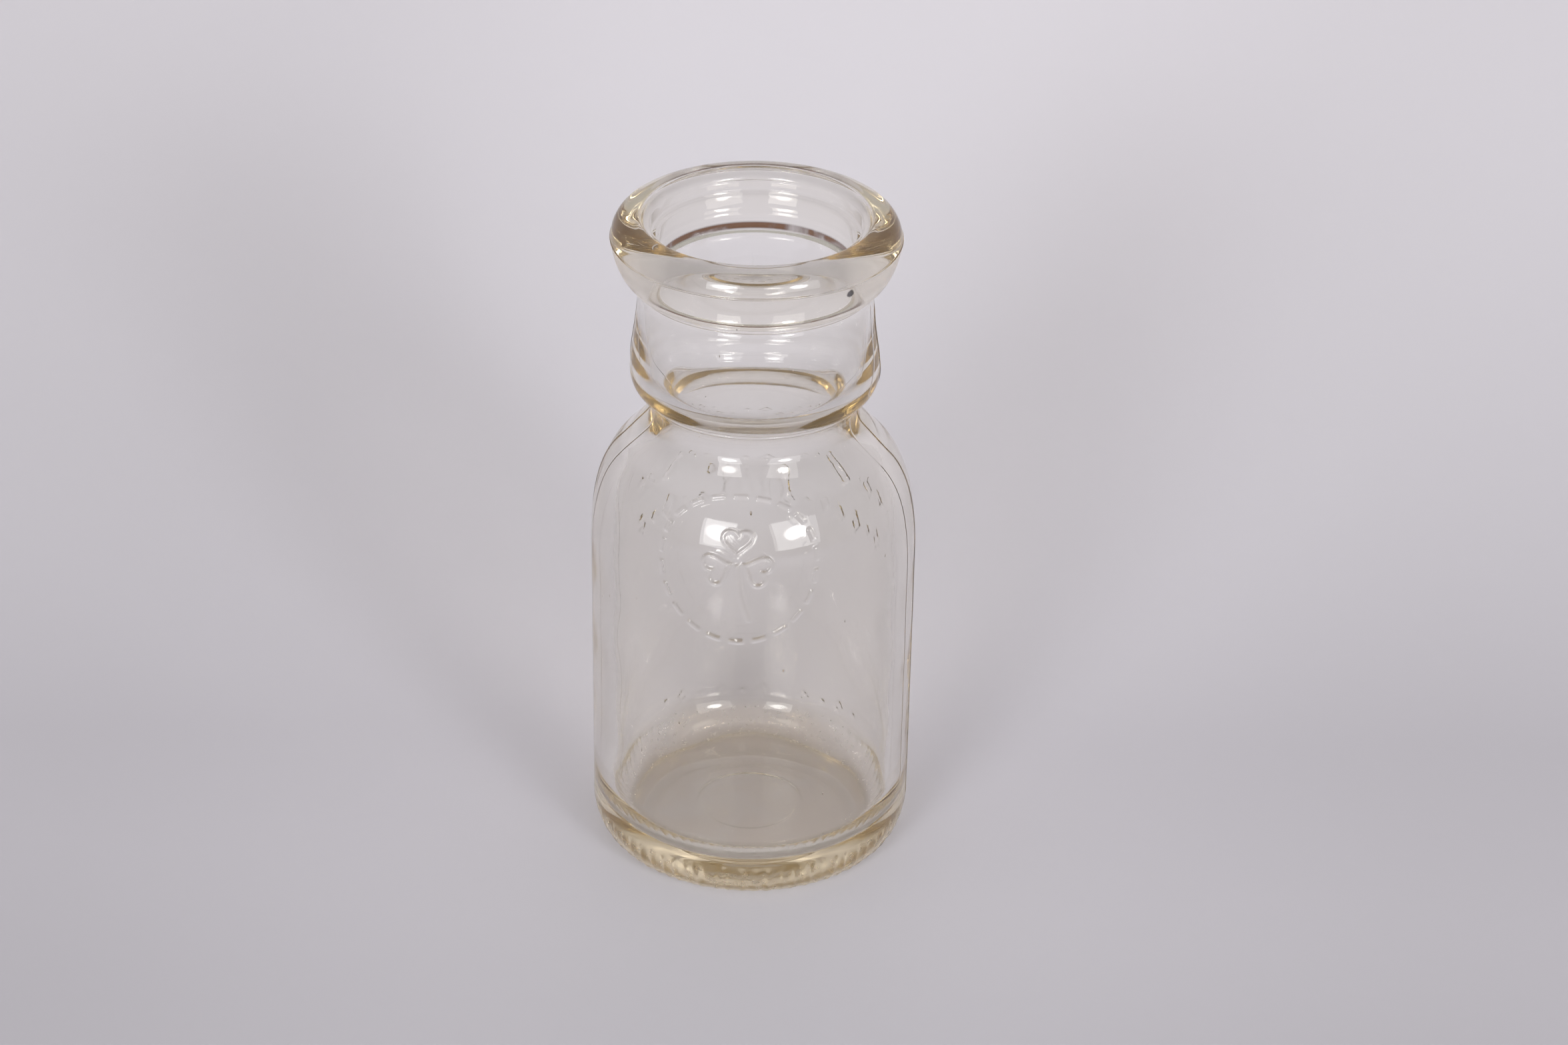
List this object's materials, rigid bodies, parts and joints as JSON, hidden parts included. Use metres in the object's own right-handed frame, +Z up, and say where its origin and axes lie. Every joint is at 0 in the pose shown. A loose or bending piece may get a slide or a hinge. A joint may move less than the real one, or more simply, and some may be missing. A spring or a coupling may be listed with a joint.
{
  "type": "glass milk bottle",
  "caption": "Round wide-mouth glass milk bottle with a bulbed neck, thick rim, stepped cap seat, embossed medallion and ribbed heel, open at the top.",
  "frame": {"origin": "centre of the surface the bottle stands on, on the axis of the bottle", "axes": "+Z up along the axis of the bottle, -Y towards the embossed medallion, +X to the right seen from the front"},
  "size_m": [0.0662, 0.0668, 0.14],
  "materials": {
    "glass": "clear, slightly straw-tinted old glass, glossy with light wear",
    "raised_glass": "the same glass, in relief"
  },
  "bodies": {
    "root": {"bottle_glass": "glass", "medallion_ring": "raised_glass", "medallion_clover": "raised_glass", "upper_back_band": "raised_glass", "lower_back_band": "raised_glass", "heel_ribs": "raised_glass", "mould_seams": "raised_glass"}
  },
  "joints": []
}
